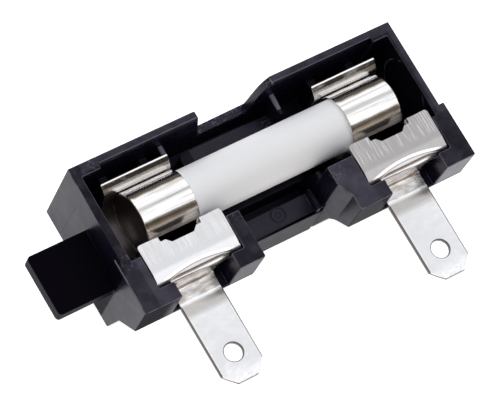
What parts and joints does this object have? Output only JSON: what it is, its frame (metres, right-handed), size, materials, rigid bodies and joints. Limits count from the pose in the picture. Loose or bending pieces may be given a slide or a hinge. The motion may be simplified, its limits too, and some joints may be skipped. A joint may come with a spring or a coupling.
{
  "type": "cartridge fuse holder",
  "caption": "Open moulded holder gripping a ceramic cartridge fuse in two sprung clip terminals, with forward push-on tabs and a side mounting lug.",
  "frame": {"origin": "on the flat back face, straight under the middle of the fuse", "axes": "+X along the fuse away from the mounting lug, -Y towards the connection tabs, +Z out of the open top"},
  "size_m": [0.0446, 0.0251, 0.0109],
  "materials": {
    "moulding": "satin-gloss black moulding",
    "plated_sheet": "tin-plated stamped brass, bright",
    "ceramic": "unglazed off-white, matte",
    "cap_plating": "nickel-plated, polished",
    "wire": "drawn",
    "sand": "packed quartz sand",
    "solder": "dull solder"
  },
  "bodies": {
    "holder": {"housing": "moulding", "left_clip_terminal": "plated_sheet", "right_clip_terminal": "plated_sheet"},
    "fuse": {"ceramic_tube": "ceramic", "left_end_cap": "cap_plating", "right_end_cap": "cap_plating", "fuse_wire": "wire", "sand_filler": "sand", "left_solder": "solder", "right_solder": "solder"}
  },
  "joints": [
    {"name": "fuse_lift", "type": "slide", "parent": "holder", "child": "fuse", "axis": [0, 0, 1], "range_m": [0, 0.012]}
  ]
}
